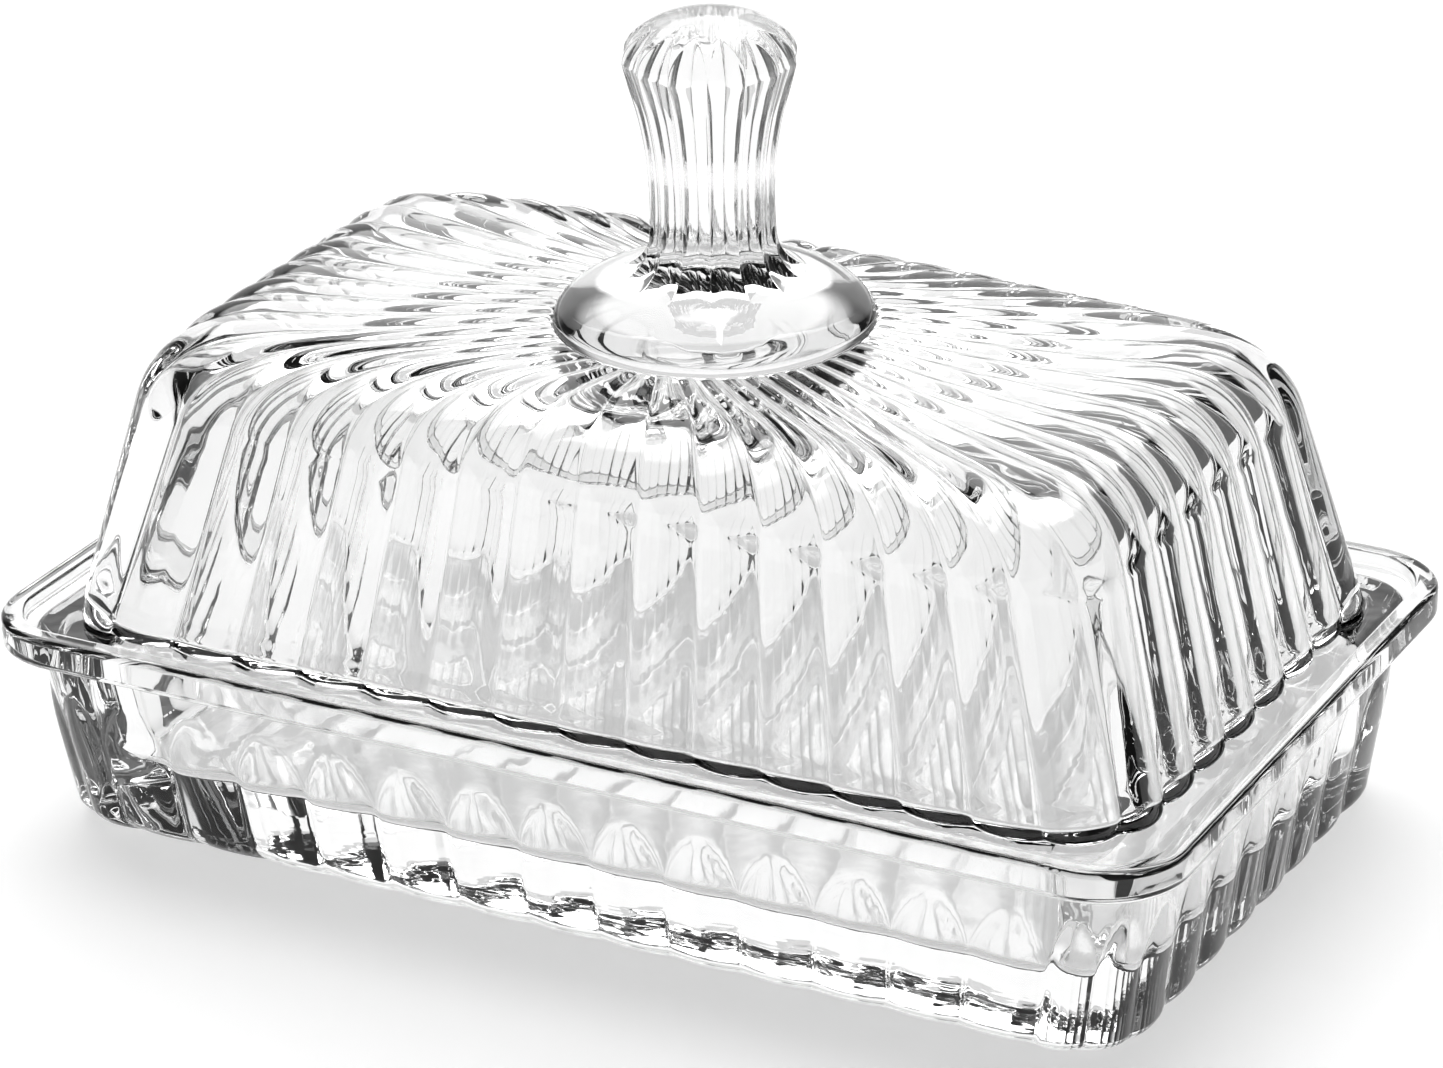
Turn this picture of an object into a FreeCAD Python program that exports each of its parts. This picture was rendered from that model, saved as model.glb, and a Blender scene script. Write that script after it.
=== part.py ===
import FreeCAD, Part
import math
import os

from FreeCAD import Vector

# A pressed clear glass butter dish: a lobed rectangular dish and a ribbed, domed
# cover with a fluted knob that lifts straight off. Millimetres, +Z up. The origin
# is on the table, under the middle of the dish. The long sides run along X.

# Dish, outside
FLANGE_LENGTH = 200.0
FLANGE_WIDTH = 121.5
FLANGE_CORNER = 13.5
FLANGE_TOP = 36.0
FLANGE_BOTTOM = 30.7
FLANGE_EDGE_ROUND = 1.1
WALL_CORNER = 10.5
COLLAR_INSET = 4.9
PETAL_TIP_HEIGHT = 24.7
PETAL_SPRING_HEIGHT = 15.0
FOOT_INSET = 9.1
FOOT_ROUND = 3.2
LOBE_DEPTH = 0.9
LONG_LOBE_PITCH = 12.05
LONG_HALF_LOBES = 6.5
SHORT_LOBE_PITCH = 11.3
SHORT_HALF_LOBES = 4
CORNER_LOBES = 2
# The least depth of a lobe, which keeps its outline an arc.
LEAST_LOBE_DEPTH = 0.05

# Dish, inside
LEDGE_HEIGHT = 34.0
LIP_WIDTH = 3.6
MOUTH_INSET = 15.0
CAVITY_CORNER = 9.5
CAVITY_DRAFT = math.radians(6.0)
FLOOR_HEIGHT = 11.0
FLOOR_ROUND = 3.0

# Cover
COVER_LENGTH = 180.8
COVER_WIDTH = 103.8
COVER_CORNER = 14.5
COVER_WALL = 4.5
RIBS = 48
RIB_DEPTH = 1.25
CROWN_RIB_DEPTH = 0.7
HEAD_RIB_DEPTH = 0.6
SHOULDER_INSET = 11.25
SHOULDER_DROP = 11.8
SHOULDER_REACH = 11.5
CORNER_SHRINK = 0.3
CROWN_SLOPE = 0.044
CEILING_HEIGHT = 76.0
INNER_SHOULDER = 10.0
INNER_CORNER = 11.5
# Where the rings of the cover are cut: the wall's ends, round the shoulder, and the
# middle of the crown and the start of the rounded rib heads.
WALL_STATIONS = (0, 1)
SHOULDER_STATIONS = (1.2, 1.4, 1.6, 1.8, 2)
CROWN_STATIONS = (2.5, 2.9)

# Boss and knob
BOSS_RADIUS = 24.75
BOSS_BASE = 82.4
BOSS_RISE = 8.9
FLUTES = 14
FLUTE_DEPTH = 0.9
KNOB_CENTRE_HEIGHT = 124.2
KNOB_DOME_RISE = 7.2
KNOB_ROOT = 87.0
# Height and ridge radius of the fluted stem, from its spreading foot to its cap.
KNOB_PROFILE = (
    (89.0, 13.4),
    (90.6, 12.0),
    (92.6, 10.6),
    (96.0, 9.7),
    (103.0, 9.7),
    (110.0, 10.2),
    (116.0, 11.3),
    (121.0, 12.7),
    (124.2, 13.4),
)

# The collar starts this far inside the lobed wall, so that their faces cross cleanly.
SEAM_STEP = 0.02
# How far cutting and joining shapes run past the faces they meet.
OVERLAP = 1.0
SMALL = 1e-4
HALVINGS = 40


def outline_length(half_x, half_y, radius):
    """Quarter of a rounded rectangle's outline."""
    return half_x - radius + half_y - radius + radius * math.pi / 2


def outline_point(half_x, half_y, radius, share):
    """A point on a rounded rectangle. Each whole number of share is a quarter of
    the outline, from the middle of the front, anticlockwise seen from above."""
    quarter = math.floor(share)
    part = share - quarter
    if quarter % 2:
        part = 1 - part
    run = part * outline_length(half_x, half_y, radius)
    straight = half_x - radius
    arc = radius * math.pi / 2
    if run <= straight:
        x = run
        y = -half_y
    elif run <= straight + arc:
        turn = (run - straight) / radius
        x = straight + radius * math.sin(turn)
        y = -half_y + radius - radius * math.cos(turn)
    else:
        x = half_x
        y = -half_y + radius + run - straight - arc
    if quarter % 4 in (2, 3):
        x = -x
    if quarter % 4 in (1, 2):
        y = -y
    return x, y


def outline_distance(x, y, half_x, half_y, radius):
    """Signed distance from a rounded rectangle, negative inside."""
    dx = abs(x) - half_x + radius
    dy = abs(y) - half_y + radius
    outside = math.hypot(max(dx, 0), max(dy, 0))
    return outside + min(max(dx, dy), 0) - radius


def rounded_rectangle(length, width, radius, height):
    """A closed wire with four lines and four arcs, at the given height."""
    x = length / 2
    y = width / 2
    c = radius * (1 - math.sqrt(0.5))
    edges = []
    for sx, sy in ((1, -1), (1, 1), (-1, 1), (-1, -1)):
        along_x = Vector(sx * (x - radius), sy * y, height)
        along_y = Vector(sx * x, sy * (y - radius), height)
        middle = Vector(sx * (x - c), sy * (y - c), height)
        ends = (along_x, along_y) if sx * sy < 0 else (along_y, along_x)
        edges.append(Part.Arc(ends[0], middle, ends[1]).toShape())
    starts = [edge.valueAt(edge.FirstParameter) for edge in edges]
    stops = [edge.valueAt(edge.LastParameter) for edge in edges]
    wire = []
    for i, edge in enumerate(edges):
        wire.append(edge)
        wire.append(Part.LineSegment(stops[i], starts[(i + 1) % 4]).toShape())
    return Part.Wire(wire)


def rounded_block(length, width, radius, bottom, top):
    """A straight-sided slab with rounded corners."""
    face = Part.Face(rounded_rectangle(length, width, radius, bottom))
    return face.extrude(Vector(0, 0, top - bottom))


def arc_ring(valleys, crests):
    """A closed wire of arcs, from valley to valley over the crest between them."""
    arcs = []
    for i, crest in enumerate(crests):
        following = valleys[(i + 1) % len(valleys)]
        arcs.append(Part.Arc(valleys[i], crest, following).toShape())
    return Part.Wire(arcs)


def horizontal_edges(shape, height):
    """The edges that lie in the plane at the given height."""
    found = []
    for edge in shape.Edges:
        box = edge.BoundBox
        if abs(box.ZMin - height) < SMALL and abs(box.ZMax - height) < SMALL:
            found.append(edge)
    return found


# ---------------------------------------------------------------- dish

def dish_lobe_shares():
    """Shares of a quarter outline at the valleys between lobes, going all round."""
    half_x = FLANGE_LENGTH / 2 - FOOT_INSET
    half_y = FLANGE_WIDTH / 2 - FOOT_INSET
    quarter = outline_length(half_x, half_y, WALL_CORNER)
    long_run = LONG_HALF_LOBES * LONG_LOBE_PITCH
    short_run = SHORT_HALF_LOBES * SHORT_LOBE_PITCH
    corner_pitch = (quarter - long_run - short_run) / CORNER_LOBES
    runs = [(i + 0.5) * LONG_LOBE_PITCH for i in range(int(LONG_HALF_LOBES + 0.5))]
    runs += [long_run + (i + 1) * corner_pitch for i in range(CORNER_LOBES)]
    runs += [quarter - i * SHORT_LOBE_PITCH for i in range(SHORT_HALF_LOBES - 1, -1, -1)]
    quarter_shares = [run / quarter for run in runs]
    shares = list(quarter_shares)
    shares += [2 - share for share in reversed(quarter_shares[:-1])]
    shares += [share + 2 for share in quarter_shares]
    shares += [4 - share for share in reversed(quarter_shares[:-1])]
    return shares


def wall_inset(height):
    """How far the wall between the lobes stands in from the flange's edge."""
    return FOOT_INSET - (FOOT_INSET - COLLAR_INSET) * height / FLANGE_BOTTOM


def dish_ring(shares, inset, depth, height):
    """One level of the lobed wall, with each lobe standing proud by depth."""
    half_x = FLANGE_LENGTH / 2 - inset
    half_y = FLANGE_WIDTH / 2 - inset
    valleys = []
    crests = []
    for i, share in enumerate(shares):
        following = shares[(i + 1) % len(shares)]
        if following < share:
            following += 4
        middle = (share + following) / 2
        valley = outline_point(half_x, half_y, WALL_CORNER, share)
        crest = outline_point(half_x + depth, half_y + depth, WALL_CORNER + depth, middle)
        valleys.append(Vector(*valley, height))
        crests.append(Vector(*crest, height))
    return arc_ring(valleys, crests)


def lobed_body():
    """The lower wall: convex lobes with rounded feet and pointed heads."""
    shares = dish_lobe_shares()
    rings = []
    for degrees in (0, 30, 60, 90):
        turn = math.radians(degrees)
        height = FOOT_ROUND * (1 - math.cos(turn))
        inset = wall_inset(height) + FOOT_ROUND * (1 - math.sin(turn))
        depth = max(LOBE_DEPTH * math.sin(turn), LEAST_LOBE_DEPTH)
        rings.append(dish_ring(shares, inset, depth, height))
    head = PETAL_TIP_HEIGHT - PETAL_SPRING_HEIGHT
    for rise in (0, 0.3, 0.6, 0.85, 1):
        height = PETAL_SPRING_HEIGHT + head * rise
        depth = max(LOBE_DEPTH * (1 - rise ** 2) ** 2, LEAST_LOBE_DEPTH)
        rings.append(dish_ring(shares, wall_inset(height), depth, height))
    return Part.makeLoft(rings, True, True)


def collar():
    """The plain drafted band between the lobes and the flange."""
    wires = []
    for height in (PETAL_TIP_HEIGHT - OVERLAP, FLANGE_BOTTOM + OVERLAP):
        inset = wall_inset(height) + SEAM_STEP
        length = FLANGE_LENGTH - 2 * inset
        width = FLANGE_WIDTH - 2 * inset
        wires.append(rounded_rectangle(length, width, WALL_CORNER, height))
    return Part.makeLoft(wires, True, True)


def flange():
    """The rim slab with softened edges."""
    slab = rounded_block(
        FLANGE_LENGTH, FLANGE_WIDTH, FLANGE_CORNER, FLANGE_BOTTOM, FLANGE_TOP)
    edges = horizontal_edges(slab, FLANGE_TOP) + horizontal_edges(slab, FLANGE_BOTTOM)
    return slab.makeFillet(FLANGE_EDGE_ROUND, edges)


def cavity():
    """The space for the butter, with a rounded floor edge, open at the ledge."""
    depth = LEDGE_HEIGHT - FLOOR_HEIGHT
    narrowing = depth * math.tan(CAVITY_DRAFT)
    wires = []
    for inset, height in (
        (MOUTH_INSET + narrowing, FLOOR_HEIGHT),
        (MOUTH_INSET, LEDGE_HEIGHT),
    ):
        length = FLANGE_LENGTH - 2 * inset
        width = FLANGE_WIDTH - 2 * inset
        wires.append(rounded_rectangle(length, width, CAVITY_CORNER, height))
    hollow = Part.makeLoft(wires, True, True)
    hollow = hollow.makeFillet(FLOOR_ROUND, horizontal_edges(hollow, FLOOR_HEIGHT))
    return hollow


def dish():
    body = lobed_body().fuse(collar()).fuse(flange())
    ledge = rounded_block(
        FLANGE_LENGTH - 2 * LIP_WIDTH,
        FLANGE_WIDTH - 2 * LIP_WIDTH,
        FLANGE_CORNER - LIP_WIDTH,
        LEDGE_HEIGHT,
        FLANGE_TOP + OVERLAP,
    )
    return body.cut(ledge).cut(cavity())


# ---------------------------------------------------------------- cover

def cover_outline(inset, share):
    """A point on the cover's outline, drawn in by inset."""
    half_x = COVER_LENGTH / 2 - inset
    half_y = COVER_WIDTH / 2 - inset
    return outline_point(half_x, half_y, COVER_CORNER - CORNER_SHRINK * inset, share)


def crown_start(corner, boss_point):
    """The share of the way from the shoulder corner to the boss at which the
    shoulder has become the crown."""
    inset = SHOULDER_INSET + SHOULDER_REACH
    half_x = COVER_LENGTH / 2 - inset
    half_y = COVER_WIDTH / 2 - inset
    radius = COVER_CORNER - CORNER_SHRINK * inset
    low = 0.0
    high = 1.0
    for _ in range(HALVINGS):
        middle = (low + high) / 2
        x = corner.x + (boss_point.x - corner.x) * middle
        y = corner.y + (boss_point.y - corner.y) * middle
        if outline_distance(x, y, half_x, half_y, radius) > 0:
            low = middle
        else:
            high = middle
    return low


def cover_path(share, station):
    """A point of the cover without its ribs. share goes round the cover and
    station goes up: 0 to 1 is the wall, 1 to 2 the shoulder, 2 to 3 the crown."""
    base = Vector(*cover_outline(0, share), LEDGE_HEIGHT)
    angle = share * math.pi / 2 - math.pi / 2
    boss_point = Vector(
        BOSS_RADIUS * math.cos(angle), BOSS_RADIUS * math.sin(angle), BOSS_BASE)
    corner = Vector(*cover_outline(SHOULDER_INSET, share), BOSS_BASE)
    corner.z -= CROWN_SLOPE * (corner - boss_point).Length
    start = crown_start(corner, boss_point)
    wall_top = corner + (base - corner).normalize() * SHOULDER_DROP
    crown_edge = corner + (boss_point - corner) * start
    if station <= 1:
        return base + (wall_top - base) * station
    if station <= 2:
        t = station - 1
        first = wall_top * ((1 - t) ** 2)
        second = corner * (2 * t * (1 - t))
        return first + second + crown_edge * (t ** 2)
    return crown_edge + (boss_point - crown_edge) * (station - 2)


def cover_normal(share, station):
    """The outward direction of the cover's surface."""
    step = 0.01
    before = cover_path(share, max(station - step, 0))
    after = cover_path(share, min(station + step, 3))
    along = after - before
    around = cover_path(share + step, station) - cover_path(share - step, station)
    return around.cross(along).normalize()


def rib_depth(station):
    """How proud the ribs stand: most on the wall and least at their heads."""
    if station <= 1:
        return RIB_DEPTH
    if station <= 2:
        return RIB_DEPTH + (CROWN_RIB_DEPTH - RIB_DEPTH) * (station - 1)
    return CROWN_RIB_DEPTH + (HEAD_RIB_DEPTH - CROWN_RIB_DEPTH) * (station - 2)


def cover_ring(station):
    """One closed ring of rib arcs at a station."""
    depth = rib_depth(station)
    pitch = 4 / RIBS
    valleys = []
    crests = []
    for i in range(RIBS):
        share = pitch * i
        valleys.append(cover_path(share, station))
        middle = share + pitch / 2
        crest = cover_path(middle, station) + cover_normal(middle, station) * depth
        if station == 0:
            crest.z = LEDGE_HEIGHT
        crests.append(crest)
    return arc_ring(valleys, crests)


def boss_ring():
    """The circle that the rib heads run down to, as one arc for each rib."""
    valleys = []
    crests = []
    for i in range(RIBS):
        for angle, points in ((i, valleys), (i + 0.5, crests)):
            turn = 2 * math.pi * angle / RIBS - math.pi / 2
            x = BOSS_RADIUS * math.cos(turn)
            y = BOSS_RADIUS * math.sin(turn)
            points.append(Vector(x, y, BOSS_BASE))
    return arc_ring(valleys, crests)


def ribbed_shell():
    """The outside of the cover up to the boss, as a solid."""
    stations = WALL_STATIONS + SHOULDER_STATIONS + CROWN_STATIONS
    rings = [cover_ring(station) for station in stations]
    rings.append(boss_ring())
    return Part.makeLoft(rings, True, True)


def cover_hollow():
    """The smooth space under the cover."""
    slope = SHOULDER_INSET / (BOSS_BASE - LEDGE_HEIGHT)
    wires = []
    for height in (LEDGE_HEIGHT - OVERLAP, CEILING_HEIGHT):
        inset = COVER_WALL + slope * (height - LEDGE_HEIGHT)
        length = COVER_LENGTH - 2 * inset
        width = COVER_WIDTH - 2 * inset
        wires.append(rounded_rectangle(length, width, INNER_CORNER, height))
    hollow = Part.makeLoft(wires, True, True)
    return hollow.makeFillet(INNER_SHOULDER, horizontal_edges(hollow, CEILING_HEIGHT))


def boss():
    """The low smooth dome that the knob stands on."""
    dome = Part.makeSphere(BOSS_RADIUS, Vector(0, 0, 0), Vector(0, 0, 1), 0, 90, 360)
    squash = FreeCAD.Matrix()
    squash.scale(Vector(1, 1, BOSS_RISE / BOSS_RADIUS))
    dome = dome.transformGeometry(squash)
    dome.translate(Vector(0, 0, BOSS_BASE))
    return dome


def knob_ring(height, ridge):
    """A ring of hollow flutes between sharp ridges."""
    ridges = []
    hollows = []
    depth = FLUTE_DEPTH * ridge / KNOB_PROFILE[-1][1]
    for i in range(FLUTES):
        turn = 2 * math.pi * i / FLUTES
        ridges.append(Vector(ridge * math.cos(turn), ridge * math.sin(turn), height))
        turn += math.pi / FLUTES
        inner = ridge - depth
        hollows.append(Vector(inner * math.cos(turn), inner * math.sin(turn), height))
    return arc_ring(ridges, hollows)


def knob():
    """The fluted stem under a smooth domed cap."""
    root = (KNOB_ROOT, KNOB_PROFILE[0][1])
    rings = [knob_ring(height, ridge) for height, ridge in (root,) + KNOB_PROFILE]
    stem = Part.makeLoft(rings, True, True)
    cap_radius = KNOB_PROFILE[-1][1]
    cap = Part.makeSphere(cap_radius, Vector(0, 0, 0), Vector(0, 0, 1), 0, 90, 360)
    squash = FreeCAD.Matrix()
    squash.scale(Vector(1, 1, KNOB_DOME_RISE / cap_radius))
    cap = cap.transformGeometry(squash)
    cap.translate(Vector(0, 0, KNOB_CENTRE_HEIGHT))
    return stem.fuse(cap)


def cover():
    shell = ribbed_shell().cut(cover_hollow())
    return shell.fuse(boss()).fuse(knob())


def save(name, shape):
    """Write one piece, which has to be a single valid solid."""
    if len(shape.Solids) != 1 or not shape.isValid():
        raise ValueError(name + " is not a single valid solid")
    shape.Solids[0].exportStep("parts/" + name + ".step")


os.makedirs("parts", exist_ok=True)
save("dish", dish())
save("cover", cover())
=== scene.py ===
import math

import bpy
import numpy as np
from mathutils import Matrix, Vector


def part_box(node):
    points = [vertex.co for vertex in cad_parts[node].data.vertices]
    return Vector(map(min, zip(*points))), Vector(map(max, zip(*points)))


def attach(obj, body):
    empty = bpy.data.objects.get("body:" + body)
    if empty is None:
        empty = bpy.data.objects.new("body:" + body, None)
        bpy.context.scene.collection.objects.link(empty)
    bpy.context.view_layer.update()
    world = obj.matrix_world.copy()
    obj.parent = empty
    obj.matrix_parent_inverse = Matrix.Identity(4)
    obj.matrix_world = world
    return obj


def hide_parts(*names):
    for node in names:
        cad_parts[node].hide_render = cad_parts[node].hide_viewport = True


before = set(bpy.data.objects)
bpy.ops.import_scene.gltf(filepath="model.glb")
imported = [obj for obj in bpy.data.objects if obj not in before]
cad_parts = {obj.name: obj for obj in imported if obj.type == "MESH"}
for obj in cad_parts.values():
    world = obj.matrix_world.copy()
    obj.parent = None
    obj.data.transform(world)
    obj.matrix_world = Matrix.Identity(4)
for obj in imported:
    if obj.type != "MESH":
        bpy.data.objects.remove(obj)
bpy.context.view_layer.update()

# A pressed clear glass butter dish on a glowing table in a grey studio. The glass is
# in millimetres until mesh_piece() turns it into metres; the table and the camera
# are in metres. The overall sizes, the flange's top, the ledge's height and the
# knob's top come from the frame, and the rest are the dimensions of the glass.
MM = 0.001
TURN = 2 * math.pi
dish_low, dish_high = (Vector(corner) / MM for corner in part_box("dish"))
cover_low, cover_high = (Vector(corner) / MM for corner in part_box("cover"))

# Lobes and ribs: how full their profile is, how rounded the valleys between them
# are, as a share of the depth, and how far columns of points crowd into the valleys
SCALLOP_POWER = 2.2
VALLEY_SOFTNESS = 0.25
CROWDING = 0.75
COLUMNS_PER_SCALLOP = 14

# Dish, outside
FLANGE_LENGTH = dish_high.x - dish_low.x
FLANGE_WIDTH = dish_high.y - dish_low.y
FLANGE_CORNER = 13.5
FLANGE_TOP = dish_high.z
FLANGE_BOTTOM = 30.7
FLANGE_ROUND = 1.1
UNDERSIDE_CORNER = 12.5
COVE = 0.8
COLLAR_INSET = 4.9
FOOT_INSET = 9.1
FOOT_ROUND = 3.2
WALL_SLOPE = (FOOT_INSET - COLLAR_INSET) / FLANGE_BOTTOM
WALL_CORNER = 10.5
LOBE_DEPTH = 0.9
PETAL_SPRING_HEIGHT = 15.0
PETAL_TIP_HEIGHT = 24.7
# The least width of a lobe at its tip, as a share of its full width
LEAST_ARCH = 0.01
LONG_LOBE_PITCH = 12.05
LONG_HALF_LOBES = 6.5
SHORT_LOBE_PITCH = 11.3
SHORT_HALF_LOBES = 4
CORNER_LOBES = 2

# Dish, inside
LEDGE_HEIGHT = cover_low.z
LIP_WIDTH = 3.6
LIP_ROUND = 0.6
LIP_CORNER = FLANGE_CORNER - LIP_WIDTH
MOUTH_INSET = 15.0
MOUTH_ROUND = 0.9
CAVITY_CORNER = 9.5
CAVITY_DRAFT_DEGREES = 6.0
CAVITY_DRAFT = math.radians(CAVITY_DRAFT_DEGREES)
FLOOR_HEIGHT = 11.0
FLOOR_ROUND = 3.0
FLOOR_CORNER = CAVITY_CORNER - FLOOR_ROUND / 2

# Cover
RIB_DEPTH = 1.25
COVER_HALF_X = (cover_high.x - cover_low.x) / 2 - RIB_DEPTH
COVER_HALF_Y = (cover_high.y - cover_low.y) / 2 - RIB_DEPTH
COVER_CORNER = 14.5
COVER_WALL = 4.5
COVER_GAP = 0.12
COVER_BOTTOM = LEDGE_HEIGHT + COVER_GAP
BASE_ROUND = 1.0
RIBS = 48
CROWN_RIB_DEPTH = 0.7
HEAD_RIB_DEPTH = 0.6
RIB_HEAD_LENGTH = 1.3
SHOULDER_INSET = 11.25
SHOULDER_DROP = 11.8
SHOULDER_REACH = 11.5
CORNER_SHRINK = 0.3
CROWN_SLOPE = 0.044
CEILING_HEIGHT = 76.0
CEILING_CORNER = 5.5
INNER_SHOULDER = 10.0
INNER_CORNER = 11.5

# Boss and knob
BOSS_RADIUS = 24.75
BOSS_BASE = 82.4
BOSS_RISE = 8.9
KNOB_FOOT_RADIUS = 14.6
FLUTES = 14
FLUTE_DEPTH = 0.9
FLUTE_END_TURN = math.radians(52)
CAP_RADIUS = 13.4
CAP_HEIGHT = 124.2
CAP_RISE = cover_high.z - CAP_HEIGHT
# The share of a flute's depth that comes off the height of the cap
CAP_CUT = 0.8

# Rings of points in each stretch of the dish
FLAT_RINGS = 14
FOOT_RINGS = 12
LOBE_RINGS = 64
COVE_RINGS = 6
UNDERSIDE_RINGS = 4
EDGE_RINGS = 8
LIP_RINGS = 5
LEDGE_RINGS = 6
MOUTH_RINGS = 6
CAVITY_RINGS = 12
FLOOR_ROUND_RINGS = 10

# Rings of points in each stretch of the cover
CEILING_RINGS = 16
INNER_SHOULDER_RINGS = 18
INNER_WALL_RINGS = 24
BASE_RINGS = 6
WALL_RINGS = 36
SHOULDER_RINGS = 33
CROWN_RINGS = 36
BOSS_RINGS = 22
STEM_RINGS = 72
CAP_RINGS = 34

# The innermost rings of the flat faces, and the sole's last, as shares of full size
FLAT_CENTRE = 0.08
SOLE_EDGE = 0.98
CEILING_CENTRE = 0.06

HALVINGS = 40
SMALL = 1e-9

# Glass. A noise is its scale and its detail, and the ripple's height is in metres
REFRACTION = 1.52
TINT_NOISE = (30, 2)
DARK_TINT = (0.905, 0.907, 0.906, 1)
PALE_TINT = (0.93, 0.93, 0.93, 1)
GLOSS_NOISE = (60, 3)
GLOSSIEST = (0.0, 0.0, 0.0, 1)
DULLEST = (0.02, 0.02, 0.02, 1)
RIPPLE_NOISE = (110, 2)
RIPPLE_HEIGHT = 0.06 * MM
RAMP_START = 0.35
RAMP_END = 0.65

# Table, in metres
TABLE_HALF_SIZE = 4.0
TABLE_GAP = 0.05 * MM
TABLE_NOISE = (3, 2)
TABLE_GREY = 0.58
TABLE_UNEVENNESS = 0.01
TABLE_ROUGHNESS = 0.9
TABLE_GLOW = 0.48
WHITE = (1, 1, 1, 1)

# Studio: how bright each part is, and the band over which it comes in, as cosines
# of the angle to the direction that it lies in
SOFTBOX = 4.2
SOFTBOX_TILT = math.radians(-33)
SOFTBOX_BAND = (0.83, 0.89)
CEILING = 0.22
CEILING_BAND = (0.4, 0.6)
WALL = 0.8
WALL_BAND = (0.7, 0.85)
FLAG = 0.12
FLAG_BAND = (0.3, 0.5)
ROOM = 0.45

# Camera, in metres and radians
CAMERA_AZIMUTH = math.radians(28.2)
CAMERA_ELEVATION = math.radians(24.51)
CAMERA_ROLL = math.radians(-1.09)
CAMERA_DISTANCE = 0.87665
CAMERA_TARGET = Vector((0.0002, 0.0005, 0.0458))
CAMERA_NEAREST = 0.01
LENS_MM = 140.9
SENSOR_MM = 36.0


# ------------------------------------------------------------ outlines

def outline(half_x, half_y, radius, share):
    """Points and outward normals of a rounded rectangle. Each whole number of
    share is a quarter, from the middle of the front, anticlockwise from above."""
    quarter = np.floor(share + SMALL)
    part = share - quarter
    odd = quarter % 2 == 1
    part = np.where(odd, 1 - part, part)
    straight = half_x - radius
    arc = radius * math.pi / 2
    side = half_y - radius
    run = part * (straight + arc + side)
    turn = np.clip((run - straight) / radius, 0, math.pi / 2)
    x = np.minimum(run, straight) + radius * np.sin(turn)
    y = -half_y + radius * (1 - np.cos(turn)) + np.maximum(run - straight - arc, 0)
    flip_x = np.where((quarter % 4 == 2) | (quarter % 4 == 3), -1.0, 1.0)
    flip_y = np.where((quarter % 4 == 1) | (quarter % 4 == 2), -1.0, 1.0)
    normal_x = np.sin(turn) * flip_x
    normal_y = -np.cos(turn) * flip_y
    return x * flip_x, y * flip_y, normal_x, normal_y


def outline_distance(x, y, half_x, half_y, radius):
    """Signed distance from a rounded rectangle, negative inside."""
    dx = np.abs(x) - half_x + radius
    dy = np.abs(y) - half_y + radius
    outside = np.hypot(np.maximum(dx, 0), np.maximum(dy, 0))
    return outside + np.minimum(np.maximum(dx, dy), 0) - radius


def crowded_steps(count):
    """Steps from 0 to 1 that crowd towards both ends, where a valley is sharp."""
    even = np.arange(count) / count
    return even - CROWDING * np.sin(TURN * even) / TURN


def scallop(across):
    """The profile of a lobe or a rib: 1 on its crest, 0 in the fire-polished valley."""
    flank = 1 - np.abs(across) ** SCALLOP_POWER
    soft = VALLEY_SOFTNESS
    return (np.hypot(flank, soft) - soft) / (math.hypot(1, soft) - soft)


def rounding(count, start_degrees=0, end_degrees=90):
    """Angles round an edge."""
    return np.radians(np.linspace(start_degrees, end_degrees, count))


def curve_through(points, count):
    """A smooth curve through (radius, height) points, as evenly spread samples."""
    knots = np.array(points)
    length = np.append(0, np.cumsum(np.linalg.norm(np.diff(knots, axis=0), axis=1)))
    padded = np.vstack([2 * knots[0] - knots[1], knots, 2 * knots[-1] - knots[-2]])
    samples = []
    for place in np.linspace(0, length[-1], count):
        i = min(np.searchsorted(length, place, side="right") - 1, len(knots) - 2)
        t = (place - length[i]) / (length[i + 1] - length[i])
        a, b, c, d = padded[i:i + 4]
        samples.append(0.5 * (2 * b + (c - a) * t + (2 * a - 5 * b + 4 * c - d) * t ** 2
                              + (3 * b - a - 3 * c + d) * t ** 3))
    return np.array(samples)


# ------------------------------------------------------------ meshes

def ring(x, y, z):
    """One ring of points at a height, or at a height for each point."""
    return np.stack([x, y, np.broadcast_to(z, x.shape)], axis=-1)


def round_ring(radius, angle, z):
    """One ring of points about the knob's axis."""
    return ring(radius * np.cos(angle), radius * np.sin(angle), z)


def mesh_piece(name, rows, material):
    """A closed shell from rings of points, with each end drawn to its centre."""
    grid = np.array(rows)
    count, columns = grid.shape[:2]
    ends = np.array([grid[0].mean(axis=0), grid[-1].mean(axis=0)])
    points = np.vstack([grid.reshape(-1, 3), ends]) * MM
    index = np.arange(count * columns).reshape(count, columns)
    after = np.roll(index, -1, axis=1)
    quads = np.stack([index[:-1], after[:-1], after[1:], index[1:]], axis=-1)
    first = np.full(columns, count * columns)
    last = first + 1
    start_fan = np.stack([first, after[0], index[0]], axis=-1)
    end_fan = np.stack([last, index[-1], after[-1]], axis=-1)
    faces = quads.reshape(-1, 4).tolist() + start_fan.tolist() + end_fan.tolist()
    mesh = bpy.data.meshes.new(name)
    mesh.from_pydata(points.tolist(), [], faces)
    mesh.validate()
    mesh.shade_smooth()
    mesh.materials.append(material)
    piece = bpy.data.objects.new(name, mesh)
    bpy.context.scene.collection.objects.link(piece)
    return piece


# ------------------------------------------------------------ dish

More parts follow.
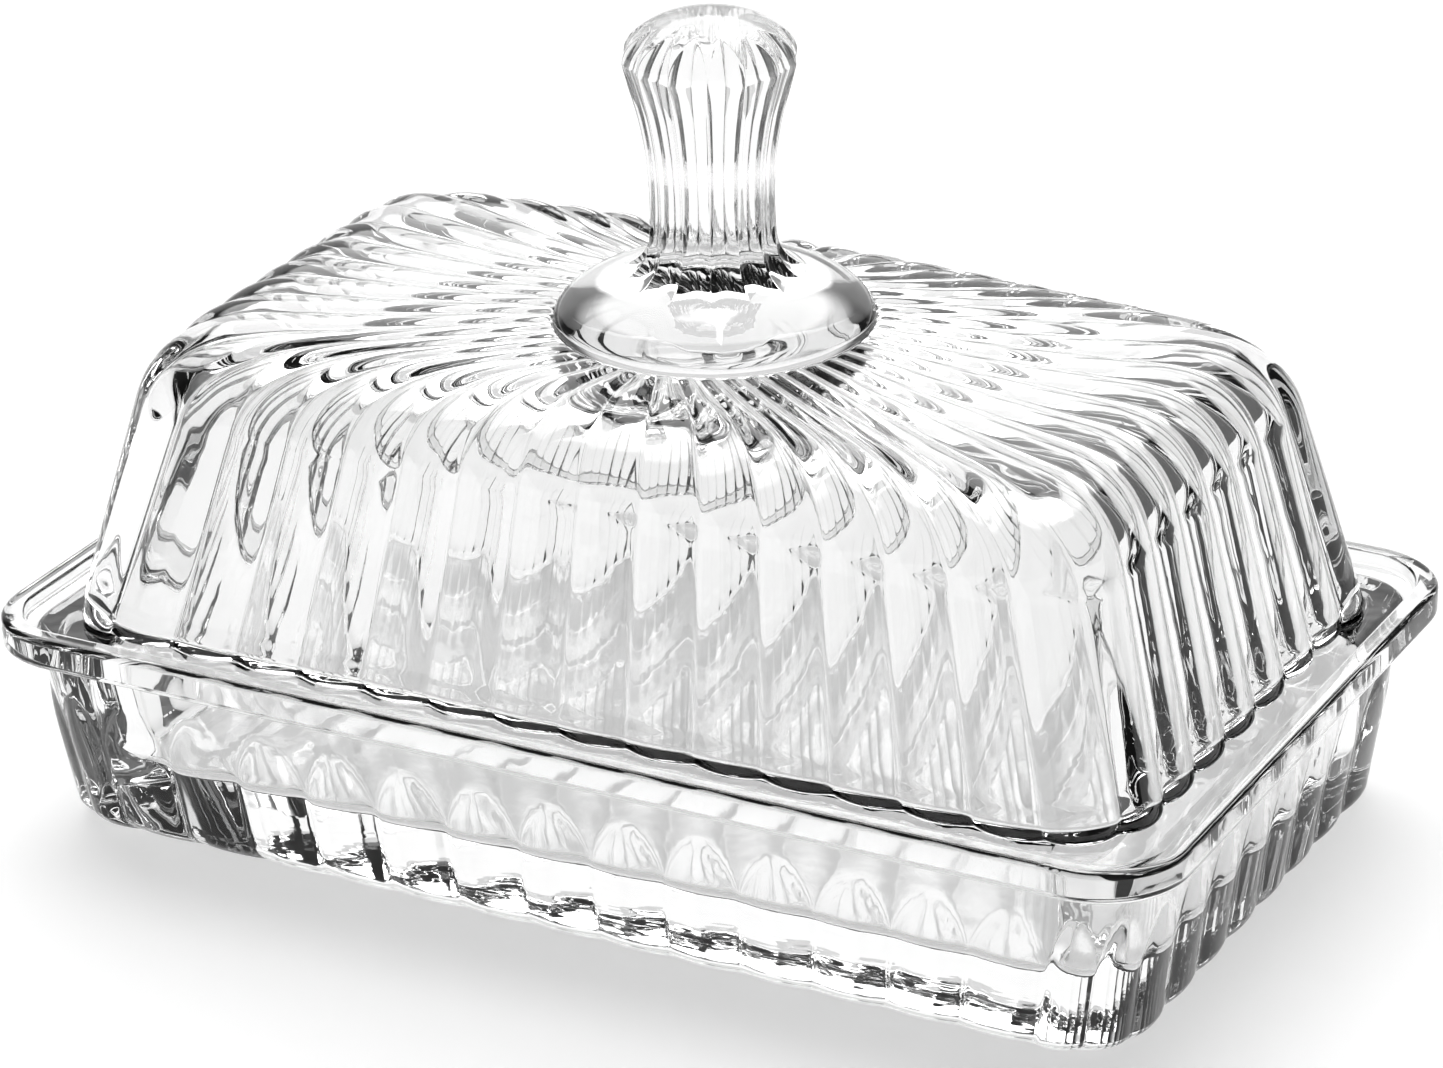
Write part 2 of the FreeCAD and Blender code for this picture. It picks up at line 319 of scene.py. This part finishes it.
def dish_columns():
    """The share of each column, and where it lies across its lobe, -1 to 1."""
    half_x = FLANGE_LENGTH / 2 - FOOT_INSET
    half_y = FLANGE_WIDTH / 2 - FOOT_INSET
    quarter = half_x + half_y - (2 - math.pi / 2) * WALL_CORNER
    long_run = LONG_HALF_LOBES * LONG_LOBE_PITCH
    short_run = SHORT_HALF_LOBES * SHORT_LOBE_PITCH
    corner_pitch = (quarter - long_run - short_run) / CORNER_LOBES
    runs = [(i + 0.5) * LONG_LOBE_PITCH for i in range(int(LONG_HALF_LOBES + 0.5))]
    runs += [long_run + (i + 1) * corner_pitch for i in range(CORNER_LOBES)]
    runs += [quarter - i * SHORT_LOBE_PITCH for i in range(SHORT_HALF_LOBES - 1, -1, -1)]
    first = np.array(runs) / quarter
    second = 2 - first[:-1][::-1]
    valleys = np.concatenate([first, second, first + 2, second + 2])
    widths = np.diff(np.append(valleys, valleys[0] + 4))
    steps = crowded_steps(COLUMNS_PER_SCALLOP)
    share = (valleys[:, None] + widths[:, None] * steps).ravel() % 4
    across = np.tile(2 * steps - 1, len(valleys))
    return share, across


def dish_ring(share, inset, height, radius, proud=0.0, shrink=1.0):
    """One level of the dish, drawn in by inset from the flange's edge."""
    half_x = FLANGE_LENGTH / 2 - inset
    half_y = FLANGE_WIDTH / 2 - inset
    x, y, normal_x, normal_y = outline(half_x, half_y, radius, share)
    x = (x + normal_x * proud) * shrink
    y = (y + normal_y * proud) * shrink
    return ring(x, y, height)


def wall_inset(height):
    """How far the wall between the lobes stands in from the flange's edge."""
    return FOOT_INSET - WALL_SLOPE * height


def lobe_depth(across, height):
    """How proud of the wall the lobes stand. They narrow to a point at their heads."""
    rise = (height - PETAL_SPRING_HEIGHT) / (PETAL_TIP_HEIGHT - PETAL_SPRING_HEIGHT)
    arch = 1 - np.clip(rise, 0, 1) ** 2
    spread = np.minimum(np.abs(across) / np.maximum(arch, LEAST_ARCH), 1)
    return LOBE_DEPTH * arch * scallop(spread)


def foot_rows(share, across):
    """The flat sole, from its middle, and the rounded foot of the lobes."""
    rows = []
    sole_inset = FOOT_INSET + FOOT_ROUND
    for shrink in np.linspace(FLAT_CENTRE, SOLE_EDGE, FLAT_RINGS):
        rows.append(dish_ring(share, sole_inset, 0, WALL_CORNER, shrink=shrink))
    full_lobe = lobe_depth(across, 0)
    for turn in rounding(FOOT_RINGS):
        height = FOOT_ROUND * (1 - math.cos(turn))
        inset = wall_inset(height) + FOOT_ROUND * (1 - math.sin(turn))
        proud = full_lobe * math.sin(turn)
        rows.append(dish_ring(share, inset, height, WALL_CORNER, proud))
    return rows


def wall_rows(share, across):
    """The lobed wall, the cove above it and the underside of the flange."""
    rows = []
    for height in np.linspace(FOOT_ROUND, FLANGE_BOTTOM - COVE, LOBE_RINGS)[1:]:
        proud = lobe_depth(across, height)
        rows.append(dish_ring(share, wall_inset(height), height, WALL_CORNER, proud))
    for turn in rounding(COVE_RINGS)[1:]:
        inset = COLLAR_INSET + WALL_SLOPE * COVE * math.cos(turn) - COVE * (1 - math.cos(turn))
        height = FLANGE_BOTTOM - COVE * (1 - math.sin(turn))
        rows.append(dish_ring(share, inset, height, WALL_CORNER + COVE))
    for step in np.linspace(0, 1, UNDERSIDE_RINGS)[1:]:
        inset = COLLAR_INSET - COVE + (FLANGE_ROUND - COLLAR_INSET + COVE) * step
        corner = WALL_CORNER + COVE + (UNDERSIDE_CORNER - WALL_CORNER - COVE) * step
        rows.append(dish_ring(share, inset, FLANGE_BOTTOM, corner))
    return rows


def rim_rows(share):
    """Round both edges of the flange, over the lip and down to the ledge."""
    rows = []
    for turn in rounding(EDGE_RINGS)[1:]:
        inset = FLANGE_ROUND * (1 - math.sin(turn))
        height = FLANGE_BOTTOM + FLANGE_ROUND * (1 - math.cos(turn))
        rows.append(dish_ring(share, inset, height, FLANGE_CORNER))
    for turn in rounding(EDGE_RINGS):
        inset = FLANGE_ROUND * (1 - math.cos(turn))
        height = FLANGE_TOP - FLANGE_ROUND * (1 - math.sin(turn))
        rows.append(dish_ring(share, inset, height, FLANGE_CORNER))
    for turn in rounding(LIP_RINGS):
        inset = LIP_WIDTH - LIP_ROUND * (1 - math.sin(turn))
        height = FLANGE_TOP - LIP_ROUND * (1 - math.cos(turn))
        rows.append(dish_ring(share, inset, height, LIP_CORNER))
    for turn in rounding(LIP_RINGS):
        inset = LIP_WIDTH + LIP_ROUND * (1 - math.cos(turn))
        height = LEDGE_HEIGHT + LIP_ROUND * (1 - math.sin(turn))
        rows.append(dish_ring(share, inset, height, LIP_CORNER))
    return rows


def ledge_rows(share):
    """The ledge that the cover stands on, and the rounded mouth of the cavity."""
    rows = []
    start = LIP_WIDTH + LIP_ROUND
    for step in np.linspace(0, 1, LEDGE_RINGS)[1:]:
        inset = start + (MOUTH_INSET - MOUTH_ROUND - start) * step
        corner = LIP_CORNER + (CAVITY_CORNER - LIP_CORNER) * step
        rows.append(dish_ring(share, inset, LEDGE_HEIGHT, corner))
    for turn in rounding(MOUTH_RINGS, 0, 90 - CAVITY_DRAFT_DEGREES)[1:]:
        inset = MOUTH_INSET - MOUTH_ROUND * (1 - math.sin(turn))
        height = LEDGE_HEIGHT - MOUTH_ROUND * (1 - math.cos(turn))
        rows.append(dish_ring(share, inset, height, CAVITY_CORNER))
    return rows


def cavity_rows(share):
    """The drafted wall of the cavity, its rounded floor edge and its floor."""
    rows = []
    bend = FLOOR_HEIGHT + FLOOR_ROUND
    for height in np.linspace(LEDGE_HEIGHT - MOUTH_ROUND, bend, CAVITY_RINGS)[1:]:
        inset = MOUTH_INSET + (LEDGE_HEIGHT - height) * math.tan(CAVITY_DRAFT)
        rows.append(dish_ring(share, inset, height, CAVITY_CORNER))
    wall_foot = MOUTH_INSET + (LEDGE_HEIGHT - bend) * math.tan(CAVITY_DRAFT)
    for turn in rounding(FLOOR_ROUND_RINGS, CAVITY_DRAFT_DEGREES)[1:]:
        inset = wall_foot + FLOOR_ROUND * (1 - math.cos(turn))
        height = bend - FLOOR_ROUND * math.sin(turn)
        rows.append(dish_ring(share, inset, height, FLOOR_CORNER))
    floor_inset = wall_foot + FLOOR_ROUND
    for shrink in np.linspace(1, FLAT_CENTRE, FLAT_RINGS)[1:]:
        rows.append(dish_ring(share, floor_inset, FLOOR_HEIGHT, FLOOR_CORNER, shrink=shrink))
    return rows


def dish_rows():
    """Rings from the middle of the underside, up the outside, over the rim, down
    into the cavity and to the middle of its floor."""
    share, across = dish_columns()
    rows = foot_rows(share, across)
    rows += wall_rows(share, across)
    rows += rim_rows(share)
    rows += ledge_rows(share)
    rows += cavity_rows(share)
    return rows


# ------------------------------------------------------------ cover

def cover_outline(inset, share):
    """The cover's outline without ribs, drawn in by inset."""
    radius = COVER_CORNER - CORNER_SHRINK * inset
    x, y = outline(COVER_HALF_X - inset, COVER_HALF_Y - inset, radius, share)[:2]
    return x, y


def crown_start(corner, boss_point):
    """The share of the way from the shoulder corner to the boss at which the
    shoulder has become the crown."""
    inset = SHOULDER_INSET + SHOULDER_REACH
    radius = COVER_CORNER - CORNER_SHRINK * inset
    low = np.zeros(len(corner))
    high = np.ones(len(corner))
    for _ in range(HALVINGS):
        middle = (low + high) / 2
        x, y = (corner + (boss_point - corner) * middle[:, None])[:, :2].T
        distance = outline_distance(
            x, y, COVER_HALF_X - inset, COVER_HALF_Y - inset, radius)
        low = np.where(distance > 0, middle, low)
        high = np.where(distance > 0, high, middle)
    return low


def cover_path(share, base_height):
    """The outside of the cover without its ribs, as rings that go up the wall,
    round the shoulder and over the crown to the boss. The station of each ring is
    0 to 1 on the wall, 1 to 2 on the shoulder and 2 to 3 on the crown."""
    base = ring(*cover_outline(0, share), base_height)
    boss_point = round_ring(BOSS_RADIUS, (share - 1) * math.pi / 2, BOSS_BASE)
    corner = ring(*cover_outline(SHOULDER_INSET, share), BOSS_BASE)
    reach = np.linalg.norm(corner - boss_point, axis=1)
    corner = corner - np.outer(CROWN_SLOPE * reach, (0, 0, 1))
    start = crown_start(corner, boss_point)[:, None]
    down = base - corner
    down /= np.linalg.norm(down, axis=1)[:, None]
    wall_top = corner + down * SHOULDER_DROP
    crown_edge = corner + (boss_point - corner) * start
    rings = []
    stations = []
    for t in np.linspace(0, 1, WALL_RINGS):
        rings.append(base + (wall_top - base) * t)
        stations.append(t)
    for t in np.linspace(0, 1, SHOULDER_RINGS)[1:]:
        rings.append(
            wall_top * (1 - t) ** 2 + corner * 2 * t * (1 - t) + crown_edge * t ** 2)
        stations.append(1 + t)
    for t in np.sin(np.linspace(0, math.pi / 2, CROWN_RINGS))[1:]:
        rings.append(crown_edge + (boss_point - crown_edge) * t)
        stations.append(2 + t)
    return np.array(rings), stations


def surface_normals(rings):
    """Outward normals of a grid that closes on itself round each ring."""
    around = np.roll(rings, -1, axis=1) - np.roll(rings, 1, axis=1)
    along = np.gradient(rings, axis=0)
    normals = np.cross(around, along)
    return normals / np.linalg.norm(normals, axis=-1, keepdims=True)


def ribbed_rows(share, across):
    """The ribbed outside of the cover, from its base to the boss."""
    rings, stations = cover_path(share, COVER_BOTTOM + BASE_ROUND)
    normals = surface_normals(rings)
    rib = scallop(across)
    to_boss = np.linalg.norm((rings - rings[-1])[:, :, :2], axis=-1)
    depths = (RIB_DEPTH, CROWN_RIB_DEPTH, HEAD_RIB_DEPTH)
    depth = np.interp(stations, (1, 2, 3), depths)[:, None]
    head = np.clip(to_boss / RIB_HEAD_LENGTH, 0, 1)
    depth = depth * np.sqrt(1 - (1 - head) ** 2)
    return rings + normals * (depth * rib)[:, :, None]


def base_rows(share, across):
    """The rounded bottom edge of the cover, from its inside to its outside."""
    rib = RIB_DEPTH * scallop(across)
    x, y, normal_x, normal_y = outline(COVER_HALF_X, COVER_HALF_Y, COVER_CORNER, share)
    inner = outline(
        COVER_HALF_X - COVER_WALL, COVER_HALF_Y - COVER_WALL, INNER_CORNER, share)
    rows = []
    for turn in rounding(BASE_RINGS)[:-1]:
        drawn_out = BASE_ROUND * (1 - math.cos(turn))
        height = COVER_BOTTOM + BASE_ROUND * (1 - math.sin(turn))
        rows.append(ring(inner[0] + inner[2] * drawn_out,
                         inner[1] + inner[3] * drawn_out, height))
    for turn in rounding(BASE_RINGS)[:-1]:
        drawn_in = BASE_ROUND * (1 - math.sin(turn))
        height = COVER_BOTTOM + BASE_ROUND * (1 - math.cos(turn))
        rows.append(ring(x + normal_x * (rib - drawn_in),
                         y + normal_y * (rib - drawn_in), height))
    return rows


def hollow_ring(share, inset, height, radius, shrink=1.0):
    """One level of the inside, drawn in by inset from the foot of the cover."""
    x, y = outline(COVER_HALF_X - inset, COVER_HALF_Y - inset, radius, share)[:2]
    return ring(x * shrink, y * shrink, height)


def hollow_rows(share):
    """The smooth inside of the cover, from the middle of its ceiling down."""
    slope = SHOULDER_INSET / (BOSS_BASE - LEDGE_HEIGHT)
    wall_head = CEILING_HEIGHT - INNER_SHOULDER
    head_inset = COVER_WALL + slope * (wall_head - LEDGE_HEIGHT)
    ceiling_inset = head_inset + INNER_SHOULDER
    rows = []
    for shrink in np.linspace(CEILING_CENTRE, 1, CEILING_RINGS)[:-1]:
        rows.append(hollow_ring(share, ceiling_inset, CEILING_HEIGHT, CEILING_CORNER, shrink))
    for turn in rounding(INNER_SHOULDER_RINGS)[:-1]:
        inset = head_inset + INNER_SHOULDER * (1 - math.sin(turn))
        height = wall_head + INNER_SHOULDER * math.cos(turn)
        corner = CEILING_CORNER + (INNER_CORNER - CEILING_CORNER) * math.sin(turn) ** 2
        rows.append(hollow_ring(share, inset, height, corner))
    wall_foot = COVER_BOTTOM + BASE_ROUND
    for height in np.linspace(wall_head, wall_foot, INNER_WALL_RINGS)[:-1]:
        inset = COVER_WALL + slope * (height - LEDGE_HEIGHT)
        rows.append(hollow_ring(share, inset, height, INNER_CORNER))
    return rows


def boss_height(radius):
    """The height of the boss's dome at a distance from its axis."""
    return BOSS_BASE + BOSS_RISE * np.sqrt(1 - (radius / BOSS_RADIUS) ** 2)


def boss_rows(share, even_angle):
    """The smooth boss, from the rib heads in to the knob. Its columns change from
    the spacing of the ribs to an even spacing."""
    rib_angle = (share - 1) * math.pi / 2
    last_turn = math.acos(KNOB_FOOT_RADIUS / BOSS_RADIUS)
    rows = []
    for turn in np.linspace(0, last_turn, BOSS_RINGS)[1:]:
        angle = rib_angle + (even_angle - rib_angle) * (turn / last_turn)
        radius = BOSS_RADIUS * math.cos(turn)
        rows.append(round_ring(radius, angle, boss_height(radius)))
    return rows


def stem_rows(angle, ridge):
    """The star-shaped foot and the fluted stem. ridge is 1 on a ridge and 0 in the
    middle of a flute."""
    ridge_line = [(13.7, boss_height(13.7)), (12.2, 90.9), (10.9, 92.3), (10.0, 94.6),
                  (9.7, 99.0), (9.75, 104.0), (10.2, 110.0), (11.25, 116.0),
                  (12.6, 121.0), (CAP_RADIUS, CAP_HEIGHT)]
    hollow_line = [(11.9, boss_height(11.9) + 0.1), (10.7, 91.4), (9.7, 92.9),
                   (9.1, 95.0), (8.9, 99.0), (8.9, 104.0), (9.3, 110.0),
                   (10.3, 116.0), (11.6, 121.0), (CAP_RADIUS - FLUTE_DEPTH, CAP_HEIGHT)]
    crests = curve_through(ridge_line, STEM_RINGS)
    hollows = curve_through(hollow_line, STEM_RINGS)
    rows = []
    for crest, hollow in zip(crests, hollows):
        radius = hollow[0] + (crest[0] - hollow[0]) * ridge
        height = hollow[1] + (crest[1] - hollow[1]) * ridge
        rows.append(round_ring(radius, angle, height))
    return rows


def cap_rows(angle, ridge):
    """The domed cap, where the flutes end in arches."""
    rows = []
    for turn in np.linspace(0, math.pi / 2, CAP_RINGS)[1:-1]:
        fade = (turn / FLUTE_END_TURN) ** 2
        cut = FLUTE_DEPTH * np.maximum(1 - ridge - fade, 0)
        radius = (CAP_RADIUS - cut) * math.cos(turn)
        height = CAP_HEIGHT + (CAP_RISE - cut * CAP_CUT) * math.sin(turn)
        rows.append(round_ring(radius, angle, height))
    return rows


def cover_rows():
    """Rings from the middle of the ceiling, down the inside, round the base, up
    the ribbed outside and over the knob."""
    steps = crowded_steps(COLUMNS_PER_SCALLOP)
    share = ((np.arange(RIBS)[:, None] + steps) * 4 / RIBS).ravel()
    across = np.tile(2 * steps - 1, RIBS)
    part = np.arange(len(share)) / len(share)
    even_angle = part * TURN - math.pi / 2
    ridge = np.abs(2 * ((part * FLUTES) % 1) - 1) ** 2
    rows = hollow_rows(share)
    rows += base_rows(share, across)
    rows += list(ribbed_rows(share, across))
    rows += boss_rows(share, even_angle)
    rows += stem_rows(even_angle, ridge)
    rows += cap_rows(even_angle, ridge)
    return rows


# ------------------------------------------------------------ materials

def new_material(name):
    """An empty node material with its output and a Principled shader."""
    material = bpy.data.materials.new(name)
    material.use_nodes = True
    tree = material.node_tree
    tree.nodes.clear()
    output = tree.nodes.new("ShaderNodeOutputMaterial")
    shader = tree.nodes.new("ShaderNodeBsdfPrincipled")
    tree.links.new(shader.outputs["BSDF"], output.inputs["Surface"])
    return material, tree, shader


def object_noise(tree, noise_kind):
    """Noise in object space, of a scale and a detail."""
    place = tree.nodes.new("ShaderNodeTexCoord")
    noise = tree.nodes.new("ShaderNodeTexNoise")
    noise.inputs["Scale"].default_value = noise_kind[0]
    noise.inputs["Detail"].default_value = noise_kind[1]
    tree.links.new(place.outputs["Object"], noise.inputs["Vector"])
    return noise.outputs["Fac"]


def noise_ramp(tree, noise_kind, low, high):
    """Object-space noise mapped between two colours."""
    ramp = tree.nodes.new("ShaderNodeValToRGB")
    ramp.color_ramp.elements[0].position = RAMP_START
    ramp.color_ramp.elements[0].color = low
    ramp.color_ramp.elements[1].position = RAMP_END
    ramp.color_ramp.elements[1].color = high
    tree.links.new(object_noise(tree, noise_kind), ramp.inputs["Fac"])
    return ramp.outputs["Color"]


def pressed_glass(name):
    """Fire-polished pressed glass: faint mould ripple, slightly uneven tint and gloss."""
    material, tree, shader = new_material(name)
    shader.inputs["Transmission Weight"].default_value = 1.0
    shader.inputs["IOR"].default_value = REFRACTION
    tint = noise_ramp(tree, TINT_NOISE, DARK_TINT, PALE_TINT)
    tree.links.new(tint, shader.inputs["Base Color"])
    gloss = noise_ramp(tree, GLOSS_NOISE, GLOSSIEST, DULLEST)
    tree.links.new(gloss, shader.inputs["Roughness"])
    bump = tree.nodes.new("ShaderNodeBump")
    bump.inputs["Strength"].default_value = 1.0
    bump.inputs["Distance"].default_value = RIPPLE_HEIGHT
    tree.links.new(object_noise(tree, RIPPLE_NOISE), bump.inputs["Height"])
    tree.links.new(bump.outputs["Normal"], shader.inputs["Normal"])
    return material


def light_table():
    """The table under the dish: a grey that glows, which keeps its shadows soft."""
    material, tree, shader = new_material("light_table")
    shader.inputs["Roughness"].default_value = TABLE_ROUGHNESS
    darker = (TABLE_GREY - TABLE_UNEVENNESS,) * 3 + (1,)
    paler = (TABLE_GREY + TABLE_UNEVENNESS,) * 3 + (1,)
    shade = noise_ramp(tree, TABLE_NOISE, darker, paler)
    tree.links.new(shade, shader.inputs["Base Color"])
    shader.inputs["Emission Color"].default_value = WHITE
    shader.inputs["Emission Strength"].default_value = TABLE_GLOW
    return material


# ------------------------------------------------------------ studio

def add_floor():
    """The table's top, a hair below the dish."""
    size = TABLE_HALF_SIZE
    mesh = bpy.data.meshes.new("studio_floor")
    corners = [(-size, -size, 0), (size, -size, 0), (size, size, 0), (-size, size, 0)]
    mesh.from_pydata(corners, [], [(0, 1, 2, 3)])
    mesh.materials.append(light_table())
    floor = bpy.data.objects.new("studio_floor", mesh)
    floor.location.z = -TABLE_GAP
    bpy.context.scene.collection.objects.link(floor)


def along(tree, place, direction):
    """The cosine of the angle between a direction and the one that is looked in."""
    node = tree.nodes.new("ShaderNodeVectorMath")
    node.operation = "DOT_PRODUCT"
    tree.links.new(place.outputs["Generated"], node.inputs[0])
    node.inputs[1].default_value = direction
    return node.outputs["Value"]


def size_of(tree, value):
    """A value without its sign."""
    node = tree.nodes.new("ShaderNodeMath")
    node.operation = "ABSOLUTE"
    tree.links.new(value, node.inputs[0])
    return node.outputs[0]


def soft_step(tree, value, band):
    """A smooth 0 to 1 step of a value across a band."""
    step = tree.nodes.new("ShaderNodeMapRange")
    step.interpolation_type = "SMOOTHSTEP"
    step.inputs["From Min"].default_value = band[0]
    step.inputs["From Max"].default_value = band[1]
    tree.links.new(value, step.inputs["Value"])
    return step.outputs["Result"]


def mixed(tree, share, first, second):
    """A blend of two greys, each a number or a socket."""
    node = tree.nodes.new("ShaderNodeMix")
    tree.links.new(share, node.inputs["Factor"])
    for socket, grey in (("A", first), ("B", second)):
        if isinstance(grey, (int, float)):
            node.inputs[socket].default_value = grey
        else:
            tree.links.new(grey, node.inputs[socket])
    return node.outputs["Result"]


def add_world():
    """The studio: a pale wall behind the dish, a bright softbox above the wall, a
    dark ceiling, a grey room on the camera's side and dark flags left and right."""
    world = bpy.data.worlds.new("studio")
    world.use_nodes = True
    tree = world.node_tree
    place = tree.nodes.new("ShaderNodeTexCoord")
    sine = math.sin(CAMERA_AZIMUTH)
    cosine = math.cos(CAMERA_AZIMUTH)
    backwards = along(tree, place, (-sine, cosine, 0))
    sideways = along(tree, place, (cosine, sine, 0))
    upwards = along(tree, place, (0, 0, 1))
    lean = math.sin(SOFTBOX_TILT)
    overhead = along(tree, place, (lean * sine, -lean * cosine, math.cos(SOFTBOX_TILT)))
    flags = soft_step(tree, size_of(tree, sideways), FLAG_BAND)
    light = mixed(tree, flags, ROOM, FLAG)
    light = mixed(tree, soft_step(tree, backwards, WALL_BAND), light, WALL)
    light = mixed(tree, soft_step(tree, upwards, CEILING_BAND), light, CEILING)
    light = mixed(tree, soft_step(tree, overhead, SOFTBOX_BAND), light, SOFTBOX)
    tree.links.new(light, tree.nodes["Background"].inputs["Color"])
    bpy.context.scene.world = world


def add_camera():
    """The camera stands off the front right and looks down on the dish."""
    back = Vector((
        math.sin(CAMERA_AZIMUTH) * math.cos(CAMERA_ELEVATION),
        -math.cos(CAMERA_AZIMUTH) * math.cos(CAMERA_ELEVATION),
        math.sin(CAMERA_ELEVATION),
    ))
    data = bpy.data.cameras.new("camera")
    data.sensor_width = SENSOR_MM
    data.lens = LENS_MM
    data.clip_start = CAMERA_NEAREST
    camera = bpy.data.objects.new("camera", data)
    across = Vector((math.cos(CAMERA_AZIMUTH), math.sin(CAMERA_AZIMUTH), 0))
    up = back.cross(across)
    turned_across = across * math.cos(CAMERA_ROLL) + up * math.sin(CAMERA_ROLL)
    turned_up = up * math.cos(CAMERA_ROLL) - across * math.sin(CAMERA_ROLL)
    axes = Matrix((turned_across, turned_up, back)).transposed().to_4x4()
    camera.matrix_world = Matrix.Translation(CAMERA_TARGET + back * CAMERA_DISTANCE) @ axes
    bpy.context.scene.collection.objects.link(camera)
    bpy.context.scene.camera = camera


add_camera()
add_world()
add_floor()
bpy.context.scene.view_settings.view_transform = "Standard"

dish = mesh_piece("dish_glass_body", dish_rows(), pressed_glass("dish_pressed_glass"))
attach(dish, "dish")
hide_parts("dish")

cover = mesh_piece("cover_glass_body", cover_rows(), pressed_glass("cover_pressed_glass"))
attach(cover, "cover")
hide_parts("cover")
